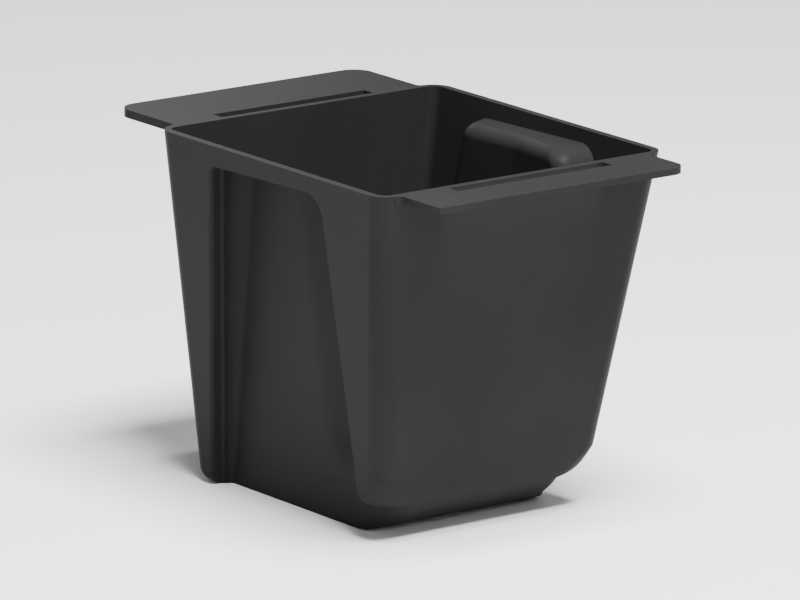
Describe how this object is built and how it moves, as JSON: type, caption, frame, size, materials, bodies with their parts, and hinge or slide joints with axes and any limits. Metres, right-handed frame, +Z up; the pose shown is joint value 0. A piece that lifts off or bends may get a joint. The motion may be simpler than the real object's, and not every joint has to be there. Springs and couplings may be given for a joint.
{
  "type": "trash compactor bucket",
  "caption": "Tapered lift-out waste bucket for a trash compactor, with slotted hanging flanges front and back and stepped side recesses.",
  "frame": {"origin": "on the surface that the bucket stands on, under the middle of its overall box", "axes": "+X to the right, -Y to the front (the short flange), +Y to the back (the long flange), +Z up towards the rim"},
  "size_m": [0.28, 0.4406, 0.296],
  "materials": {
    "charcoal_plastic": "satin moulded"
  },
  "bodies": {
    "root": {"bucket_tub": "charcoal_plastic", "rear_flange": "charcoal_plastic", "front_flange": "charcoal_plastic"}
  },
  "joints": []
}
